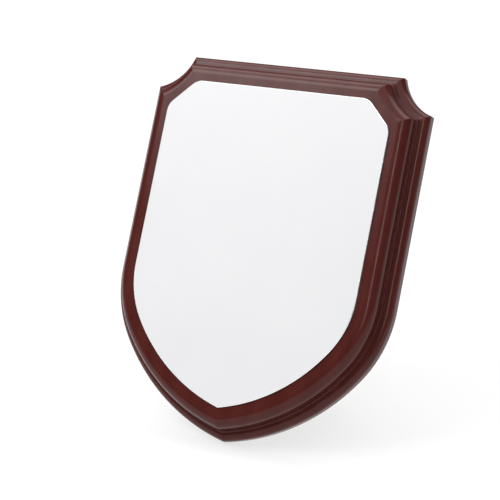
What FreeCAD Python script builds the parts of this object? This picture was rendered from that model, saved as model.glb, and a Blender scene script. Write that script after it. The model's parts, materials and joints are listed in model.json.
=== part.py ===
import FreeCAD, Part
import math
import os

# Shield-shaped wooden award plaque with an engraving plate, standing on its point
# and on a folding strut. All lengths are in millimetres.
#
# Every piece is drawn in the board's own frame: +X to the right, +Y up the board
# from its point, +Z out of its front face. build() then leans them all back and
# stands them on the floor, with the front towards -Y and +Z up.

V = FreeCAD.Vector

# ---- driving dimensions -------------------------------------------------------

LEAN = 26.0              # how far the board leans back from upright, in degrees
STRUT_ANGLE = 43.0       # strut to back of board when open, in degrees

BOARD_WIDTH = 161.0
BOARD_HEIGHT = 204.0
BOARD_THICK = 20.0
BOARD_STRAIGHT = 83.2    # height where the straight sides end
BOARD_ARC = 66.5         # radius of the upper of the two arcs on each side
NOTCH_CUT = 18.6         # corner removed by each notch, along both edges
NOTCH_RADIUS = 27.5

PLATE_WIDTH = 130.0
PLATE_HEIGHT = 171.0
PLATE_STRAIGHT = 68.0    # height above its point where the plate's sides end
PLATE_ARC = 51.6
PLATE_CHAMFER = 14.7
PLATE_CORNER = 8.5       # radius that softens both ends of the chamfer
PLATE_THICK = 0.8
PLATE_BEVEL = 0.3
TOP_MARGIN = 16.0        # plate's top edge to board's top edge
TAPE_THICK = 0.2
TAPE_INSET = 1.5

ARC_TURN = 35.0          # turn of the upper arc, on the board and on the plate

# Moulding section: insets from the board's outer edge, and depths below its face.
OVOLO_INSET = 11.7       # where the face starts to round over
OVOLO_RADIUS = 5.8
LEDGE_DEPTH = 8.8        # narrow ledge below the ovolo
LEDGE_INSET = 4.6        # the ledge's outer corner
LEDGE_ROUND = 0.3
NOSE_DEPTH = 11.0        # where the rounded outer nose starts
NOSE_RADIUS = 4.0
BACK_ROUND = 1.6

# Steel keyhole hanger, let into the back.
HANGER_WIDTH = 17.0
HANGER_HEIGHT = 45.0
HANGER_THICK = 1.6
HANGER_CENTRE_Y = 169.0
HANGER_GAP = 0.2         # clearance round the hanger in its recess
HANGER_SCREW_PITCH = 36.0
KEYHOLE_RADIUS = 4.5
KEYHOLE_SLOT = 4.6
KEYHOLE_RISE = 9.0
KEYHOLE_DROP = 3.0       # keyhole's round part below the hanger's centre
POCKET_WIDTH = 12.0
POCKET_HEIGHT = 26.0
POCKET_DEPTH = 9.0

# Strut hinge.
HINGE_Y = 112.0
PIN_RADIUS = 1.0
PIN_PROUD = 0.1
PIN_CHAMFER = 0.2
KNUCKLE_RADIUS = 2.25
LEG_KNUCKLE_RADIUS = 2.15
LEG_BORE_RADIUS = 1.05
SHEET = 1.2              # steel thickness of bracket and leg
HINGE_STANDOFF = 2.25    # pin's axis behind the board's back
TONGUE_HALF = 5.0        # half-width of the leg's knuckle
KNUCKLE_GAP = 0.2
KNUCKLE_OUTER = 9.8
BRACKET_HALF = 15.0
BRACKET_HEIGHT = 30.0
BRACKET_ROUND = 5.0
BRACKET_SCREW_X = 9.0
BRACKET_SCREW_RISE = 20.0

# Strut leg.
LEG_TOP_HALF = 14.0
LEG_FOOT_HALF = 18.0
FLANGE_DEPTH = 2.0
FLANGE_START = 9.0
STOP_GAP = 0.03          # between the leg's heels and the bracket when open
RIB_RADIUS = 2.2
RIB_START = 14.0
RIB_END_GAP = 14.0
KNUCKLE_WINDOW = 3.2     # leg's cut-outs, measured past the pin

# Rubber foot of the strut.
FOOT_GRIP = 8.0          # how far it reaches up the leg
FOOT_SOLE = 2.0
FOOT_SPARE = 6.0         # rubber below the leg before the sole is cut level
FOOT_SKIN = 1.0
FOOT_ROUND = 0.9

# Screws.
SCREW_SHANK = 1.4
SCREW_HEAD = 3.0
SCREW_STRAIGHT = 9.0     # straight part of the shank
SCREW_LENGTH = 12.0
SCREW_TIP = 0.2          # radius of the blunted point
COUNTERSUNK_DEPTH = 1.5
PAN_HEIGHT = 1.8
SLOT_LENGTH = 3.6        # cross slot in the head
SLOT_WIDTH = 0.8
SLOT_DEPTH = 0.7

# Rubber wall bumpers.
BUMPER_RADIUS = 5.0
BUMPER_TOP_RADIUS = 3.6
BUMPER_HEIGHT = 5.6      # just more than the folded strut stands proud
BUMPER_ROUND = 1.0
BUMPER_UPPER = (54.0, 176.0)
BUMPER_LOWER = (43.0, 50.0)

# ---- derived ------------------------------------------------------------------

HALF_BOARD = BOARD_WIDTH / 2
HALF_PLATE = PLATE_WIDTH / 2
PLATE_TIP_Y = BOARD_HEIGHT - TOP_MARGIN - PLATE_HEIGHT
BACK_Z = -BOARD_THICK
HINGE_Z = BACK_Z - HINGE_STANDOFF
CUT_REACH = 45.0         # how far the cutters reach outside the board
OVER = 3.0               # how far the cutters pass the front and the back
BLANK_DROP = 12.0        # how far the uncut board reaches below its point
NEAR = 0.001             # tolerance for telling which edges of a solid to round


def point_on_arc(centre, radius, degrees):
    angle = math.radians(degrees)
    return V(centre.x + radius * math.cos(angle), centre.y + radius * math.sin(angle), centre.z)


def lower_arcs(half_width, straight, radius, turn):
    """Centres and radii of the two arcs from a straight side down to the point (0, 0)."""
    upper_centre = V(half_width - radius, straight, 0)
    joint = point_on_arc(upper_centre, radius, -turn)
    inward = (upper_centre - joint).normalize()
    to_tip = V(0, 0, 0) - joint
    lower_radius = to_tip.dot(to_tip) / (2 * to_tip.dot(inward))
    lower_centre = joint + inward * lower_radius
    return upper_centre, lower_centre, lower_radius


def arc_edge(centre, radius, start, end):
    middle = (start + end) / 2
    points = [point_on_arc(centre, radius, angle) for angle in (start, middle, end)]
    return Part.Arc(*points).toShape()


def mirrored(edges):
    return [edge.mirror(V(0, 0, 0), V(1, 0, 0)) for edge in edges]


def prism(points, depth):
    """Extrude a closed polygon of (x, y) points from z = 0 by depth."""
    corners = [V(x, y, 0) for x, y in points]
    wire = Part.makePolygon(corners + corners[:1])
    return Part.Face(wire).extrude(V(0, 0, depth))


def largest_solid(shape):
    return max(shape.Solids, key=lambda solid: solid.Volume)


# ---- moulded board -------------------------------------------------------------

def moulding_face(place, reach):
    """Face of the wood that the cutter removes; place() maps (inset, depth) to a point."""

    def line(a, b):
        return Part.LineSegment(place(*a), place(*b)).toShape()

    def quarter(centre, radius, start):
        """Convex quarter turn outwards and down, or down and inwards, from an angle in degrees."""
        points = []
        for angle in (start, start + 45, start + 90):
            turn = math.radians(angle)
            points.append(place(centre[0] - radius * math.sin(turn), centre[1] - radius * math.cos(turn)))
        return Part.Arc(*points).toShape()

    ovolo_wall = OVOLO_INSET - OVOLO_RADIUS
    nose_end = NOSE_DEPTH + NOSE_RADIUS
    back_start = BOARD_THICK - BACK_ROUND
    corners = [
        (ovolo_wall, OVOLO_RADIUS),
        (ovolo_wall, LEDGE_DEPTH),
        (LEDGE_INSET + LEDGE_ROUND, LEDGE_DEPTH),
    ]
    outside = [
        (BACK_ROUND, BOARD_THICK),
        (BACK_ROUND, BOARD_THICK + OVER),
        (reach, BOARD_THICK + OVER),
        (reach, -OVER),
        (OVOLO_INSET, -OVER),
        (OVOLO_INSET, 0),
    ]
    edges = [quarter((OVOLO_INSET, OVOLO_RADIUS), OVOLO_RADIUS, 0)]
    edges += [line(a, b) for a, b in zip(corners, corners[1:])]
    edges += [
        quarter((LEDGE_INSET + LEDGE_ROUND, LEDGE_DEPTH + LEDGE_ROUND), LEDGE_ROUND, 0),
        line((LEDGE_INSET, LEDGE_DEPTH + LEDGE_ROUND), (LEDGE_INSET, NOSE_DEPTH)),
        line((LEDGE_INSET, NOSE_DEPTH), (NOSE_RADIUS, NOSE_DEPTH)),
        quarter((NOSE_RADIUS, nose_end), NOSE_RADIUS, 0),
        line((0, nose_end), (0, back_start)),
        quarter((BACK_ROUND, back_start), BACK_ROUND, 90),
    ]
    edges += [line(a, b) for a, b in zip(outside, outside[1:])]
    return Part.Face(Part.Wire(edges))


def straight_cutters():
    side = moulding_face(lambda inset, depth: V(HALF_BOARD - inset, BOARD_STRAIGHT, -depth), -CUT_REACH)
    side = side.extrude(V(0, BOARD_HEIGHT - BOARD_STRAIGHT + CUT_REACH, 0))
    top = moulding_face(lambda inset, depth: V(-BOARD_WIDTH, BOARD_HEIGHT - inset, -depth), -CUT_REACH)
    top = top.extrude(V(2 * BOARD_WIDTH, 0, 0))
    return [top, side] + mirrored([side])


def swept_cutter(centre, radius, start, end):
    """Cutter that follows an arc of the outline, bulging outwards."""
    face = moulding_face(lambda inset, depth: V(radius - inset, 0, -depth), -CUT_REACH)
    axis = V(0, 0, 1)
    face.rotate(V(0, 0, 0), axis, start)
    cutter = face.revolve(V(0, 0, 0), axis, end - start)
    cutter.translate(centre)
    return cutter


def notch_cutter():
    """Cutter of the scooped top corner, whose centre lies outside the board."""
    half_chord = NOTCH_CUT / math.sqrt(2)
    centre_offset = math.sqrt(NOTCH_RADIUS ** 2 - half_chord ** 2) / math.sqrt(2) - NOTCH_CUT / 2
    centre = V(HALF_BOARD + centre_offset, BOARD_HEIGHT + centre_offset, 0)
    face = moulding_face(lambda inset, depth: V(NOTCH_RADIUS + inset, 0, -depth), -NOTCH_RADIUS)
    cutter = face.revolve(V(0, 0, 0), V(0, 0, 1), 360)
    cutter.translate(centre)
    return cutter


def keyhole_pocket():
    """Recess for the hanger plate, and the deeper pocket for the wall screw's head."""
    gap = 2 * HANGER_GAP
    recess = stadium(HANGER_WIDTH + gap, HANGER_HEIGHT + gap, OVER + HANGER_THICK)
    pocket = stadium(POCKET_WIDTH, POCKET_HEIGHT, OVER + HANGER_THICK + POCKET_DEPTH)
    return recess.fuse(pocket).translated(V(0, HANGER_CENTRE_Y, BACK_Z - OVER))


def stadium(width, height, depth):
    """Upright slab with round ends, centred on the Z axis, from z = 0 to z = depth."""
    radius = width / 2
    rise = height / 2 - radius
    edges = [
        arc_edge(V(0, rise, 0), radius, 0, 180),
        Part.LineSegment(V(-radius, rise, 0), V(-radius, -rise, 0)).toShape(),
        arc_edge(V(0, -rise, 0), radius, 180, 360),
        Part.LineSegment(V(radius, -rise, 0), V(radius, rise, 0)).toShape(),
    ]
    return Part.Face(Part.Wire(edges)).extrude(V(0, 0, depth))


def shield_board():
    upper, lower, lower_radius = lower_arcs(HALF_BOARD, BOARD_STRAIGHT, BOARD_ARC, ARC_TURN)
    blank = prism([
        (-HALF_BOARD - OVER, BOARD_HEIGHT + OVER),
        (-HALF_BOARD - OVER, BOARD_STRAIGHT / 2),
        (-HALF_BOARD / 2, -BLANK_DROP),
        (HALF_BOARD / 2, -BLANK_DROP),
        (HALF_BOARD + OVER, BOARD_STRAIGHT / 2),
        (HALF_BOARD + OVER, BOARD_HEIGHT + OVER),
    ], -BOARD_THICK)
    right = [
        swept_cutter(upper, BOARD_ARC, -ARC_TURN, 0),
        swept_cutter(lower, lower_radius, -90, -ARC_TURN),
        notch_cutter(),
    ]
    board = blank.cut(straight_cutters() + right + mirrored(right))
    board = largest_solid(board.removeSplitter())
    return largest_solid(board.cut([keyhole_pocket()] + pilot_holes()))


# ---- plate and its tape ---------------------------------------------------------

def plate_outline(inset):
    """Closed wire of the plate's outline, drawn from its own point, pulled in by inset."""
    half = HALF_PLATE - inset
    top = PLATE_HEIGHT - inset
    upper, lower, lower_radius = lower_arcs(HALF_PLATE, PLATE_STRAIGHT, PLATE_ARC, ARC_TURN)
    upper_radius = PLATE_ARC - inset
    lower_radius = lower_radius - inset
    tip_angle = -math.degrees(math.acos(-lower.x / lower_radius))
    chamfer = PLATE_CHAMFER - inset * (2 - math.sqrt(2))
    corner = PLATE_CORNER - inset
    tangent = corner * math.tan(math.radians(22.5))
    diagonal = tangent / math.sqrt(2)
    on_top = V(half - chamfer - tangent, top, 0)
    on_side = V(half, top - chamfer - tangent, 0)
    slope_start = V(half - chamfer + diagonal, top - diagonal, 0)
    slope_end = V(half - diagonal, top - chamfer + diagonal, 0)
    right = [
        Part.LineSegment(V(0, top, 0), on_top).toShape(),
        arc_edge(V(on_top.x, top - corner, 0), corner, 90, 45),
        Part.LineSegment(slope_start, slope_end).toShape(),
        arc_edge(V(half - corner, on_side.y, 0), corner, 45, 0),
        Part.LineSegment(on_side, V(half, PLATE_STRAIGHT, 0)).toShape(),
        arc_edge(upper, upper_radius, 0, -ARC_TURN),
        arc_edge(lower, lower_radius, -ARC_TURN, tip_angle),
    ]
    return Part.Wire(Part.__sortEdges__(right + mirrored(right)))


def plate_slab(inset, bottom, thick):
    slab = Part.Face(plate_outline(inset)).extrude(V(0, 0, thick))
    slab.translate(V(0, PLATE_TIP_Y, bottom))
    return slab


def plate_adhesive():
    return plate_slab(TAPE_INSET, 0, TAPE_THICK)


def engraving_plate():
    slab = plate_slab(0, TAPE_THICK, PLATE_THICK)
    front = TAPE_THICK + PLATE_THICK
    rim = [edge for edge in slab.Edges if edge.BoundBox.ZMin > front - NEAR]
    return slab.makeChamfer(PLATE_BEVEL, rim)


# ---- screws ---------------------------------------------------------------------

def shank_and_point():
    point_length = SCREW_LENGTH - SCREW_STRAIGHT
    point = Part.makeCone(SCREW_SHANK, SCREW_TIP, point_length, V(0, 0, SCREW_STRAIGHT))
    return Part.makeCylinder(SCREW_SHANK, SCREW_STRAIGHT).fuse(point)


def screw(countersunk):
    """Wood screw along +Z, its head's bearing face at z = 0 and the head below it."""
    if countersunk:
        head = Part.makeCone(SCREW_HEAD, SCREW_SHANK, COUNTERSUNK_DEPTH)
        top = 0
    else:
        head = Part.makeCylinder(SCREW_HEAD, PAN_HEIGHT, V(0, 0, -PAN_HEIGHT))
        rim = [edge for edge in head.Edges if edge.BoundBox.ZMax < NEAR - PAN_HEIGHT]
        head = head.makeFillet(PAN_HEIGHT / 2, rim)
        top = -PAN_HEIGHT
    whole = head.fuse(shank_and_point())
    for turn in (0, 90):
        slot = Part.makeBox(SLOT_WIDTH, SLOT_LENGTH, SLOT_DEPTH, V(-SLOT_WIDTH / 2, -SLOT_LENGTH / 2, top))
        slot.rotate(V(0, 0, 0), V(0, 0, 1), turn)
        whole = whole.cut(slot)
    return largest_solid(whole.removeSplitter())


def hanger_screw_places():
    return [V(0, HANGER_CENTRE_Y + side * HANGER_SCREW_PITCH / 2, BACK_Z) for side in (-1, 1)]


def bracket_screw_places():
    height = HINGE_Y + BRACKET_SCREW_RISE
    return [V(side * BRACKET_SCREW_X, height, BACK_Z - SHEET) for side in (-1, 1)]


def hanger_screws():
    return Part.makeCompound([screw(True).translated(place) for place in hanger_screw_places()])


def bracket_screws():
    return Part.makeCompound([screw(False).translated(place) for place in bracket_screw_places()])


def pilot_holes():
    """Holes in the board that the screws fill exactly."""
    return [shank_and_point().translated(place) for place in hanger_screw_places() + bracket_screw_places()]


# ---- keyhole hanger ---------------------------------------------------------------

def keyhole_hanger():
    plate = stadium(HANGER_WIDTH, HANGER_HEIGHT, HANGER_THICK)
    eye = V(0, -KEYHOLE_DROP, 0)
    entry = Part.makeCylinder(KEYHOLE_RADIUS, HANGER_THICK, eye)
    slot = Part.makeBox(KEYHOLE_SLOT, KEYHOLE_RISE, HANGER_THICK, eye - V(KEYHOLE_SLOT / 2, 0, 0))
    slot_end = Part.makeCylinder(KEYHOLE_SLOT / 2, HANGER_THICK, eye + V(0, KEYHOLE_RISE, 0))
    cuts = [entry, slot, slot_end]
    for side in (-1, 1):
        seat = Part.makeCone(SCREW_HEAD, SCREW_SHANK, COUNTERSUNK_DEPTH)
        through = Part.makeCylinder(SCREW_SHANK, HANGER_THICK)
        for cut in (seat, through):
            cuts.append(cut.translated(V(0, side * HANGER_SCREW_PITCH / 2, 0)))
    plate = largest_solid(plate.cut(cuts))
    plate.translate(V(0, HANGER_CENTRE_Y, BACK_Z))
    return plate


# ---- strut hinge --------------------------------------------------------------------
# The hinge pieces are drawn round the pin's axis, then moved to it.

def knuckle(x_from, x_to, radius):
    return Part.makeCylinder(radius, x_to - x_from, V(x_from, 0, 0), V(1, 0, 0))


def to_hinge(shape):
    return shape.translated(V(0, HINGE_Y, HINGE_Z))


def strut_bracket():
    inner = TONGUE_HALF + KNUCKLE_GAP
    sheet_z = HINGE_STANDOFF - SHEET
    plate = Part.makeBox(2 * BRACKET_HALF, BRACKET_HEIGHT, SHEET, V(-BRACKET_HALF, 0, sheet_z))
    corners = [edge for edge in plate.Edges
               if abs(edge.BoundBox.ZLength - SHEET) < NEAR and edge.BoundBox.YMin > BRACKET_HEIGHT / 2]
    plate = plate.makeFillet(BRACKET_ROUND, corners)
    window = Part.makeBox(2 * inner, KNUCKLE_WINDOW, SHEET, V(-inner, 0, sheet_z))
    plate = plate.cut(window)
    for side in (-1, 1):
        low = min(side * inner, side * KNUCKLE_OUTER)
        high = max(side * inner, side * KNUCKLE_OUTER)
        plate = plate.fuse(knuckle(low, high, KNUCKLE_RADIUS))
    plate = plate.cut(knuckle(-BRACKET_HALF, BRACKET_HALF, PIN_RADIUS))
    for side in (-1, 1):
        hole = Part.makeCylinder(SCREW_SHANK, SHEET, V(side * BRACKET_SCREW_X, BRACKET_SCREW_RISE, sheet_z))
        plate = plate.cut(hole)
    return to_hinge(largest_solid(plate.removeSplitter()))


def strut_hinge_pin():
    reach = KNUCKLE_OUTER + PIN_PROUD
    pin = knuckle(-reach, reach, PIN_RADIUS)
    rims = [edge for edge in pin.Edges if edge.BoundBox.XLength < NEAR]
    return to_hinge(pin.makeChamfer(PIN_CHAMFER, rims))


# ---- strut leg and its foot -----------------------------------------------------------
# Drawn folded: the leg runs down along -Y, and its outer side faces -Z. open_strut()
# swings it about the pin to its open angle.

def open_strut(shape):
    return to_hinge(shape.rotated(V(0, 0, 0), V(1, 0, 0), STRUT_ANGLE))


def strut_length(hinge_height):
    """Pin's axis to the end of the steel, for a pin at this height above the floor."""
    splay = math.radians(STRUT_ANGLE - LEAN)
    sheet_middle = LEG_KNUCKLE_RADIUS - SHEET / 2
    return (hinge_height + sheet_middle * math.sin(splay)) / math.cos(splay) - FOOT_SOLE


def folded_leg(length):
    outer = LEG_KNUCKLE_RADIUS
    inner = outer - SHEET
    opening = math.radians(STRUT_ANGLE)
    heel = (HINGE_STANDOFF - SHEET + inner * math.cos(opening)) / math.sin(opening) - STOP_GAP
    sheet = prism([
        (-LEG_TOP_HALF, heel), (-LEG_TOP_HALF, 0), (-LEG_FOOT_HALF, -length),
        (LEG_FOOT_HALF, -length), (LEG_TOP_HALF, 0), (LEG_TOP_HALF, heel),
    ], SHEET).translated(V(0, 0, -outer))
    window_half = KNUCKLE_OUTER + KNUCKLE_GAP
    window = Part.makeBox(2 * window_half, heel + KNUCKLE_WINDOW + OVER, SHEET,
                          V(-window_half, -KNUCKLE_WINDOW, -outer))
    tongue = Part.makeBox(2 * TONGUE_HALF, KNUCKLE_WINDOW, SHEET, V(-TONGUE_HALF, -KNUCKLE_WINDOW, -outer))
    leg = sheet.cut(window).fuse([tongue, knuckle(-TONGUE_HALF, TONGUE_HALF, outer)])
    leg = leg.fuse([leg_flange(side, length) for side in (-1, 1)])
    rib, hollow = leg_rib(length)
    bore = knuckle(-TONGUE_HALF, TONGUE_HALF, LEG_BORE_RADIUS)
    return largest_solid(leg.fuse(rib).cut([hollow, bore]).removeSplitter())


def leg_flange(side, length):
    """One of the two folded edges that stiffen the leg, on its inner side."""
    start_half = LEG_TOP_HALF + (LEG_FOOT_HALF - LEG_TOP_HALF) * FLANGE_START / length
    flange = prism([
        (side * start_half, -FLANGE_START),
        (side * LEG_FOOT_HALF, -length),
        (side * (LEG_FOOT_HALF - SHEET), -length),
        (side * (start_half - SHEET), -FLANGE_START),
    ], FLANGE_DEPTH)
    return flange.translated(V(0, 0, SHEET - LEG_KNUCKLE_RADIUS))


def leg_rib(length):
    """Round-ended rib pressed out of the sheet, and the hollow behind it."""
    inner = LEG_KNUCKLE_RADIUS - SHEET
    start = V(0, -RIB_START, -inner)
    run = length - RIB_START - RIB_END_GAP
    shapes = []
    for radius in (RIB_RADIUS, RIB_RADIUS - SHEET):
        shape = Part.makeCylinder(radius, run, start, V(0, -1, 0))
        ends = [Part.makeSphere(radius).translated(start - V(0, end, 0)) for end in (0, run)]
        shapes.append(shape.fuse(ends))
    outside = Part.makeBox(4 * RIB_RADIUS, length, 2 * RIB_RADIUS,
                           V(-2 * RIB_RADIUS, -length, -inner - 2 * RIB_RADIUS))
    return shapes[0].common(outside), shapes[1]


def strut_leg(length):
    return open_strut(folded_leg(length))


def strut_foot(length, hinge_height):
    """Rubber sleeve on the leg's end; its sole lies level on the floor."""
    half = LEG_FOOT_HALF + FOOT_SKIN
    low = -LEG_KNUCKLE_RADIUS - FOOT_SKIN
    high = FLANGE_DEPTH + SHEET - LEG_KNUCKLE_RADIUS + FOOT_SKIN
    tall = FOOT_GRIP + FOOT_SPARE
    block = Part.makeBox(2 * half, tall, high - low, V(-half, FOOT_GRIP - length - tall, low))
    uprights = [edge for edge in block.Edges if edge.BoundBox.YLength > FOOT_GRIP]
    block = block.makeFillet(FOOT_ROUND, uprights).cut(folded_leg(length))
    splay = STRUT_ANGLE - LEAN
    floor = Part.makeBox(4 * half, 4 * half, 4 * half, V(-2 * half, -4 * half - hinge_height, -2 * half))
    block = block.cut(floor.rotated(V(0, 0, 0), V(1, 0, 0), -splay))
    return open_strut(largest_solid(block))


# ---- wall bumpers ------------------------------------------------------------------------

def wall_bumpers():
    bumpers = []
    for x, y in (BUMPER_UPPER, BUMPER_LOWER):
        for side in (-1, 1):
            base = V(side * x, y, BACK_Z)
            cone = Part.makeCone(BUMPER_RADIUS, BUMPER_TOP_RADIUS, BUMPER_HEIGHT, base, V(0, 0, -1))
            rim = [edge for edge in cone.Edges if edge.BoundBox.ZMax < BACK_Z - BUMPER_HEIGHT + NEAR]
            bumpers.append(cone.makeFillet(BUMPER_ROUND, rim))
    return Part.makeCompound(bumpers)


# ---- standing on the floor ------------------------------------------------------------------

def exact_box(shape):
    return shape.optimalBoundingBox(False, False)


def lean_back(shape):
    return shape.rotated(V(0, 0, 0), V(1, 0, 0), 90 - LEAN)


def build():
    """All sub-parts by node name, standing with the middle of their footprint at the origin."""
    board = shield_board()
    lift = -exact_box(lean_back(board)).ZMin
    lean = math.radians(LEAN)
    hinge_height = HINGE_Y * math.cos(lean) + HINGE_Z * math.sin(lean) + lift
    length = strut_length(hinge_height)
    parts = {
        "shield_board": board,
        "engraving_plate": engraving_plate(),
        "plate_adhesive": plate_adhesive(),
        "keyhole_hanger": keyhole_hanger(),
        "hanger_screws": hanger_screws(),
        "strut_bracket": strut_bracket(),
        "bracket_screws": bracket_screws(),
        "strut_hinge_pin": strut_hinge_pin(),
        "strut_leg": strut_leg(length),
        "strut_foot": strut_foot(length, hinge_height),
        "wall_bumpers": wall_bumpers(),
    }
    leaning = {name: lean_back(shape) for name, shape in parts.items()}
    whole = exact_box(Part.makeCompound(list(leaning.values())))
    move = V(0, -(whole.YMin + whole.YMax) / 2, lift)
    return {name: shape.translated(move) for name, shape in leaning.items()}


def main():
    os.makedirs("parts", exist_ok=True)
    for name, shape in build().items():
        shape.exportStep(f"parts/{name}.step")


if __name__ == "__main__":
    main()
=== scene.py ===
import json
import math
import bpy
from mathutils import Matrix, Vector


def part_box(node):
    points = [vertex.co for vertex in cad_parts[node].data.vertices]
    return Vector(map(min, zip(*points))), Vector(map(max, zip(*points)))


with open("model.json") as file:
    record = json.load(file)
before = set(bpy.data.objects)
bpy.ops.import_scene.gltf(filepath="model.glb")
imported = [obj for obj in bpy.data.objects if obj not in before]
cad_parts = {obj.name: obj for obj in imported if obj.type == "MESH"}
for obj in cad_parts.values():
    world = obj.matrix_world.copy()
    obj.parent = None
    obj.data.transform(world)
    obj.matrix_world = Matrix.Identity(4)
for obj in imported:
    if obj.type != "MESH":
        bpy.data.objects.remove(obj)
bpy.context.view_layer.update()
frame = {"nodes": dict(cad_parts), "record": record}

# ---- the object's own measures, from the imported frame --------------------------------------

board_low, board_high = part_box("shield_board")
CENTRE = (board_low + board_high) / 2
FACE = [mount for mount in frame["record"]["mounts"] if mount["name"] == "engraving_face"][0]
FACE_MIDDLE = Vector(FACE["pos_m"])
FACE_NORMAL = Vector(FACE["axis"]).normalized()
LEAN = math.asin(FACE_NORMAL.z)            # how far the board leans back

# ---- camera, in degrees and metres ---------------------------------------------------------

CAMERA_AZIMUTH = 27.08
CAMERA_ELEVATION = 18.13
CAMERA_ROLL = -0.28
CAMERA_LENS = 122.4
CAMERA_DISTANCE = 0.8921        # along the line of sight, to the middle of the plate
CAMERA_AIM_RIGHT = 0.00238      # that point, right of the line of sight
CAMERA_AIM_UP = 0.01579         # and above it

# ---- studio --------------------------------------------------------------------------------

FLOOR_REACH = 6.0               # half the floor's side, in metres
FLOOR_GREY = 0.27
FLOOR_GLOW = 0.7                # light that comes up through the floor
ROOM_LIGHT = 0.2
SKY_STRENGTH = 1.65
SKY_SPREAD = 85                 # in degrees

# azimuth and elevation in degrees, distance and size in metres, radiance
SOFTBOXES = {
    "key": (-45, 49, 1.6, (0.85, 0.9), 5.5),
    "strip": (28, 33, 1.7, (0.10, 0.9), 13.0),
    "rear": (-165, 66, 2.2, (3.4, 1.5), 2.0),
}

# ---- small helpers -------------------------------------------------------------------------


class Nodes:
    """A node tree that is being written: add nodes, set their inputs, join their sockets."""

    def __init__(self, tree):
        self.tree = tree
        tree.nodes.clear()

    def add(self, kind, settings=None, **inputs):
        node = self.tree.nodes.new(kind)
        for name, value in (settings or {}).items():
            setattr(node, name, value)
        for name, value in inputs.items():
            self.put(node, name.replace("_", " "), value)
        return node

    def put(self, node, key, value):
        socket = node.inputs[key]
        if isinstance(value, bpy.types.NodeSocket):
            self.tree.links.new(value, socket)
        else:
            socket.default_value = value

    def maths(self, operation, *values):
        node = self.add("ShaderNodeMath", {"operation": operation})
        for index, value in enumerate(values):
            self.put(node, index, value)
        return node.outputs[0]

    def dot(self, first, second):
        node = self.add("ShaderNodeVectorMath", {"operation": "DOT_PRODUCT"})
        self.put(node, 0, first)
        self.put(node, 1, second)
        return node.outputs["Value"]

    def stretch(self, vector, factors):
        node = self.add("ShaderNodeVectorMath", {"operation": "MULTIPLY"})
        self.put(node, 0, vector)
        self.put(node, 1, factors)
        return node.outputs[0]

    def remap(self, value, low, high, to_low=0.0, to_high=1.0):
        """Value from low to high becomes to_low to to_high, and is held there outside."""
        node = self.add("ShaderNodeMapRange", Value=value, From_Min=low, From_Max=high,
                        To_Min=to_low, To_Max=to_high)
        return node.outputs[0]

    def noise(self, vector, scale, detail, distortion=0.0):
        """Cloudy value round 0.5; scale is in cells per metre."""
        node = self.add("ShaderNodeTexNoise", Vector=vector, Scale=scale, Detail=detail,
                        Distortion=distortion)
        return node.outputs[0]

    def mix(self, factor, first, second):
        """Colour between first (factor 0) and second (factor 1)."""
        node = self.add("ShaderNodeMix", {"data_type": "RGBA"}, Factor=factor)
        for key, colour in ((6, first), (7, second)):
            self.put(node, key, colour if isinstance(colour, bpy.types.NodeSocket) else (*colour, 1))
        return node.outputs[2]

    def bump(self, height, depth, normal):
        """Normal of a surface with bumps that are depth metres high."""
        node = self.add("ShaderNodeBump", Height=height, Distance=depth, Strength=1.0, Normal=normal)
        return node.outputs[0]

    def surface(self, **inputs):
        shader = self.add("ShaderNodeBsdfPrincipled", **inputs)
        self.add("ShaderNodeOutputMaterial", Surface=shader.outputs[0])


def new_material(name):
    material = bpy.data.materials.new(name)
    material.use_nodes = True
    return material, Nodes(material.node_tree)


def position(nodes):
    """Position in the board's own frame: X across it, Y up it, Z out of its face."""
    world = nodes.add("ShaderNodeTexCoord").outputs["Object"]
    return nodes.add("ShaderNodeMapping", Vector=world, Rotation=(LEAN - math.pi / 2, 0, 0)).outputs[0]


def eased_edges(nodes, radius):
    """Normal of the surface with its edges eased to a radius in metres, as they catch the light."""
    return nodes.add("ShaderNodeBevel", {"samples": 8}, Radius=radius).outputs[0]


def edges_worn_and_highlit(nodes, eased, where, patch_scale):
    """Mask of the outer edges, broken into patches as handling leaves them; on the wood it also lays a
    painted highlight along the arrises.
    """
    surface = nodes.add("ShaderNodeNewGeometry")
    edge = nodes.remap(nodes.dot(eased, surface.outputs["Normal"]), 0.995, 0.88)
    outward = nodes.remap(surface.outputs["Pointiness"], 0.48, 0.50)
    patches = nodes.remap(nodes.noise(where, patch_scale, detail=2), 0.35, 0.65, 0.45, 1.0)
    return nodes.maths("MULTIPLY", nodes.maths("MULTIPLY", edge, outward), patches)


# ---- finishes ------------------------------------------------------------------------------

WOOD_DARK = (0.058, 0.0082, 0.0060)
WOOD_LIGHT = (0.076, 0.0125, 0.0095)
WOOD_PORE = (0.036, 0.0060, 0.0045)
# pale edge colour: lacquer rubbed through, and a painted highlight along the arrises
WOOD_RUBBED_AND_HIGHLIT = (0.230, 0.0950, 0.0850)
WOOD_EASE = 0.0007          # edge radii, in metres
METAL_EASE = 0.0003
RUBBER_EASE = 0.0006
PLATE_EASE = 0.0002
TAPE_EASE = 0.0001


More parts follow.
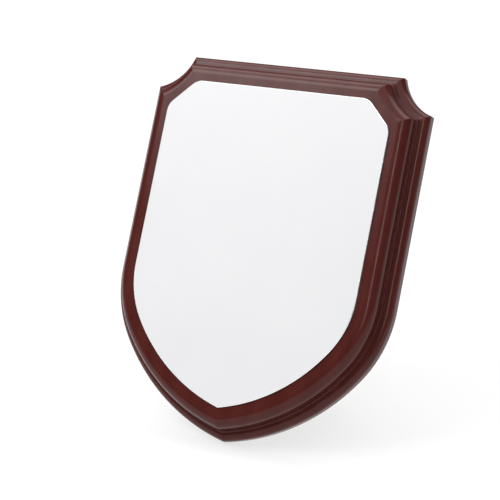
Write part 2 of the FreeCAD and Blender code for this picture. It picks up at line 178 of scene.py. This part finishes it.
def mahogany_lacquer():
    """Red-brown stained wood under satin lacquer, its grain running up the board, its edges lightened
    partly by wear and partly by a painted highlight.
    """
    material, nodes = new_material("mahogany_lacquer")
    where = position(nodes)
    along = nodes.stretch(where, (1.0, 0.05, 1.0))
    tone = nodes.noise(nodes.stretch(where, (1.0, 0.3, 1.0)), scale=16, detail=3)
    bands = nodes.add("ShaderNodeTexWave", Vector=along, Scale=21, Distortion=9.0, Detail=4,
                      Detail_Scale=1.3).outputs[1]
    streaks = nodes.noise(along, scale=620, detail=4)
    specks = nodes.noise(nodes.stretch(where, (1.0, 0.04, 1.0)), scale=2300, detail=1)
    pores = nodes.remap(specks, 0.62, 0.72)
    grain = nodes.maths("ADD", nodes.maths("MULTIPLY", bands, 0.3), nodes.maths("MULTIPLY", streaks, 0.45))
    shade = nodes.maths("ADD", grain, nodes.maths("MULTIPLY", tone, 0.5))
    colour = nodes.mix(nodes.remap(shade, 0.38, 0.88), WOOD_DARK, WOOD_LIGHT)
    colour = nodes.mix(nodes.maths("MULTIPLY", pores, 0.5), colour, WOOD_PORE)
    eased = eased_edges(nodes, WOOD_EASE)
    wear_and_highlight = edges_worn_and_highlit(nodes, eased, where, patch_scale=90)
    # edges lightened: partly wear through the lacquer, partly a painted highlight along the arrises and the
    # ledge
    colour = nodes.mix(nodes.maths("MULTIPLY", wear_and_highlight, 0.8), colour, WOOD_RUBBED_AND_HIGHLIT)
    smears = nodes.noise(where, scale=45, detail=4)
    roughness = nodes.maths("ADD", nodes.remap(smears, 0.3, 0.7, 0.17, 0.25),
                            nodes.maths("MULTIPLY", wear_and_highlight, 0.12))
    relief = nodes.maths("SUBTRACT", nodes.maths("MULTIPLY", streaks, 0.4), pores)
    nodes.surface(Base_Color=colour, Roughness=roughness, Specular_IOR_Level=0.24,
                  Normal=nodes.bump(relief, depth=0.000006, normal=eased))
    return material


PLATE_WHITE = (0.690, 0.690, 0.700)
PLATE_SHADE = (0.674, 0.675, 0.686)
BARE_METAL = (0.900, 0.900, 0.905)


def white_enamel():
    """White satin enamel on aluminium, whose bevelled edge is cut bright."""
    material, nodes = new_material("white_enamel")
    where = position(nodes)
    clouds = nodes.noise(where, scale=22, detail=3)
    peel = nodes.noise(where, scale=1100, detail=2)
    normal = nodes.add("ShaderNodeNewGeometry").outputs["Normal"]
    bare = nodes.remap(nodes.dot(normal, tuple(FACE_NORMAL)), 0.97, 0.90)
    strokes = nodes.noise(nodes.stretch(where, (1.0, 1.0, 12.0)), scale=900, detail=2)
    colour = nodes.mix(nodes.remap(clouds, 0.3, 0.7), PLATE_SHADE, PLATE_WHITE)
    colour = nodes.mix(bare, colour, BARE_METAL)
    polish = nodes.maths("MULTIPLY", bare, nodes.remap(strokes, 0.3, 0.7, -0.16, -0.08))
    roughness = nodes.maths("ADD", nodes.remap(clouds, 0.3, 0.7, 0.32, 0.38), polish)
    nodes.surface(Base_Color=colour, Metallic=bare, Roughness=roughness, Specular_IOR_Level=0.4,
                  Normal=nodes.bump(peel, depth=0.000002, normal=eased_edges(nodes, PLATE_EASE)))
    return material


def metal(name, dark, light, roughness, brushing, edge_colour, depth):
    """Worked metal: clouded colour, brushed roughness and relief, edges rubbed brighter."""
    material, nodes = new_material(name)
    where = position(nodes)
    clouds = nodes.noise(where, scale=110, detail=5, distortion=0.4)
    strokes = nodes.noise(nodes.stretch(where, brushing), scale=1500, detail=3)
    specks = nodes.remap(nodes.noise(where, scale=900, detail=1), 0.66, 0.74)
    eased = eased_edges(nodes, METAL_EASE)
    wear_and_highlight = edges_worn_and_highlit(nodes, eased, where, patch_scale=350)
    colour = nodes.mix(nodes.remap(clouds, 0.3, 0.7), dark, light)
    colour = nodes.mix(nodes.maths("MULTIPLY", specks, 0.2), colour, tuple(0.6 * part for part in dark))
    colour = nodes.mix(nodes.maths("MULTIPLY", wear_and_highlight, 0.7), colour, edge_colour)
    shine = nodes.maths("ADD", nodes.remap(strokes, 0.3, 0.7, roughness - 0.02, roughness + 0.03),
                        nodes.remap(clouds, 0.3, 0.7, -0.02, 0.03))
    nodes.surface(Base_Color=colour, Metallic=1.0, Roughness=shine,
                  Normal=nodes.bump(strokes, depth, eased))
    return material


def rubber(name, dark, light):
    """Moulded rubber: matt, faintly dusty, paler where its edges have been rubbed."""
    material, nodes = new_material(name)
    where = position(nodes)
    dust = nodes.noise(where, scale=240, detail=5, distortion=0.4)
    pits = nodes.noise(where, scale=2600, detail=3)
    eased = eased_edges(nodes, RUBBER_EASE)
    wear_and_highlight = edges_worn_and_highlit(nodes, eased, where, patch_scale=300)
    colour = nodes.mix(nodes.remap(dust, 0.35, 0.75), dark, light)
    colour = nodes.mix(nodes.maths("MULTIPLY", wear_and_highlight, 0.5), colour, tuple(1.8 * part for part in light))
    nodes.surface(Base_Color=colour, Roughness=nodes.remap(dust, 0.3, 0.7, 0.55, 0.75),
                  Specular_IOR_Level=0.35, Normal=nodes.bump(pits, depth=0.00001, normal=eased))
    return material


def paper_tape():
    """Edge of a thin sheet of double-sided tape: fibrous and slightly yellowed."""
    material, nodes = new_material("paper_tape")
    where = position(nodes)
    fibres = nodes.noise(nodes.stretch(where, (1.0, 0.3, 1.0)), scale=1800, detail=4, distortion=0.8)
    stain = nodes.noise(where, scale=60, detail=3)
    colour = nodes.mix(nodes.remap(stain, 0.35, 0.7), (0.62, 0.58, 0.47), (0.72, 0.69, 0.60))
    nodes.surface(Base_Color=colour, Roughness=nodes.remap(fibres, 0.3, 0.7, 0.6, 0.8),
                  Normal=nodes.bump(fibres, depth=0.00001, normal=eased_edges(nodes, TAPE_EASE)))
    return material


def finish_cad_nodes():
    """Give every CAD node its finish."""
    crossways, lengthways, outwards = (0.05, 1.0, 1.0), (1.0, 0.05, 1.0), (1.0, 1.0, 0.05)
    zinc = metal("zinc_steel", dark=(0.50, 0.52, 0.54), light=(0.60, 0.61, 0.62), roughness=0.36,
                 brushing=lengthways, edge_colour=(0.74, 0.74, 0.74), depth=0.000004)
    screw = metal("screw_steel", dark=(0.40, 0.40, 0.39), light=(0.55, 0.55, 0.53), roughness=0.28,
                  brushing=outwards, edge_colour=(0.72, 0.72, 0.70), depth=0.000003)
    brass = metal("brassed_steel", dark=(0.61, 0.43, 0.18), light=(0.68, 0.50, 0.23), roughness=0.3,
                  brushing=crossways, edge_colour=(0.80, 0.66, 0.40), depth=0.000001)
    pin = metal("pin_steel", dark=(0.45, 0.44, 0.42), light=(0.58, 0.57, 0.55), roughness=0.25,
                brushing=crossways, edge_colour=(0.72, 0.71, 0.69), depth=0.000002)
    finishes = {
        "shield_board": mahogany_lacquer(),
        "engraving_plate": white_enamel(),
        "plate_adhesive": paper_tape(),
        "keyhole_hanger": zinc,
        "hanger_screws": screw,
        "bracket_screws": screw,
        "strut_bracket": brass,
        "strut_leg": brass,
        "strut_hinge_pin": pin,
        "strut_foot": rubber("foot_rubber", (0.012, 0.012, 0.013), (0.030, 0.030, 0.031)),
        "wall_bumpers": rubber("bumper_rubber", (0.035, 0.033, 0.030), (0.060, 0.057, 0.052)),
    }
    for name, material in finishes.items():
        slots = frame["nodes"][name].data.materials
        slots.clear()
        slots.append(material)


# ---- camera and lights ---------------------------------------------------------------------


def camera_axes():
    """Right, up and forward for the camera's azimuth, elevation and roll."""
    turn = math.radians(CAMERA_AZIMUTH)
    tilt = math.radians(CAMERA_ELEVATION)
    right = Vector((math.cos(turn), math.sin(turn), 0))
    forward = Vector((-math.sin(turn) * math.cos(tilt), math.cos(turn) * math.cos(tilt), -math.sin(tilt)))
    roll = Matrix.Rotation(-math.radians(CAMERA_ROLL), 3, forward)
    return roll @ right, roll @ right.cross(forward), forward


def make_camera():
    right, up, forward = camera_axes()
    data = bpy.data.cameras.new("camera")
    data.lens = CAMERA_LENS
    data.sensor_width = 36
    data.clip_start = 0.01
    camera = bpy.data.objects.new("camera", data)
    place = FACE_MIDDLE - CAMERA_AIM_RIGHT * right - CAMERA_AIM_UP * up - CAMERA_DISTANCE * forward
    turned = Matrix((right, up, -forward)).transposed().to_4x4()
    camera.matrix_world = Matrix.Translation(place) @ turned
    bpy.context.scene.collection.objects.link(camera)
    bpy.context.scene.camera = camera


def softbox(name, azimuth, elevation, distance, size, radiance):
    """Rectangular light facing the object; radiance is what a mirror would show of it."""
    turn, tilt = math.radians(azimuth), math.radians(elevation)
    way = Vector((math.sin(turn) * math.cos(tilt), -math.cos(turn) * math.cos(tilt), math.sin(tilt)))
    data = bpy.data.lights.new(name, "AREA")
    data.shape = "RECTANGLE"
    data.size, data.size_y = size
    data.energy = radiance * math.pi * data.size * data.size_y
    light = bpy.data.objects.new(name, data)
    light.location = CENTRE + distance * way
    light.rotation_mode = "QUATERNION"
    light.rotation_quaternion = way.to_track_quat("Z", "Y")
    bpy.context.scene.collection.objects.link(light)


def make_sky():
    """Even, soft light from overhead that reaches the whole floor."""
    data = bpy.data.lights.new("sky", "SUN")
    data.energy = SKY_STRENGTH
    data.angle = math.radians(SKY_SPREAD)
    light = bpy.data.objects.new("sky", data)
    light.rotation_euler = (math.radians(8), 0, math.radians(-10))
    bpy.context.scene.collection.objects.link(light)


def make_floor():
    """White floor, lit from below as well, as on a light table: its shadows stay faint."""
    corners = [(x * FLOOR_REACH, y * FLOOR_REACH, 0) for x, y in ((-1, -1), (1, -1), (1, 1), (-1, 1))]
    mesh = bpy.data.meshes.new("floor")
    mesh.from_pydata(corners, [], [(0, 1, 2, 3)])
    floor = bpy.data.objects.new("floor", mesh)
    bpy.context.scene.collection.objects.link(floor)
    material, nodes = new_material("floor")
    nodes.surface(Base_Color=(FLOOR_GREY, FLOOR_GREY, FLOOR_GREY, 1), Roughness=1.0, Specular_IOR_Level=0.0,
                  Emission_Color=(1, 1, 1, 1), Emission_Strength=FLOOR_GLOW)
    mesh.materials.append(material)


def make_world():
    world = bpy.data.worlds.new("studio")
    world.use_nodes = True
    nodes = Nodes(world.node_tree)
    background = nodes.add("ShaderNodeBackground", Color=(1, 1, 1, 1), Strength=ROOM_LIGHT)
    nodes.add("ShaderNodeOutputWorld", Surface=background.outputs[0])
    bpy.context.scene.world = world


def make_studio():
    bpy.context.scene.view_settings.view_transform = "Standard"
    make_world()
    make_floor()
    make_sky()
    for name, measures in SOFTBOXES.items():
        softbox(name, *measures)


finish_cad_nodes()
make_camera()
make_studio()
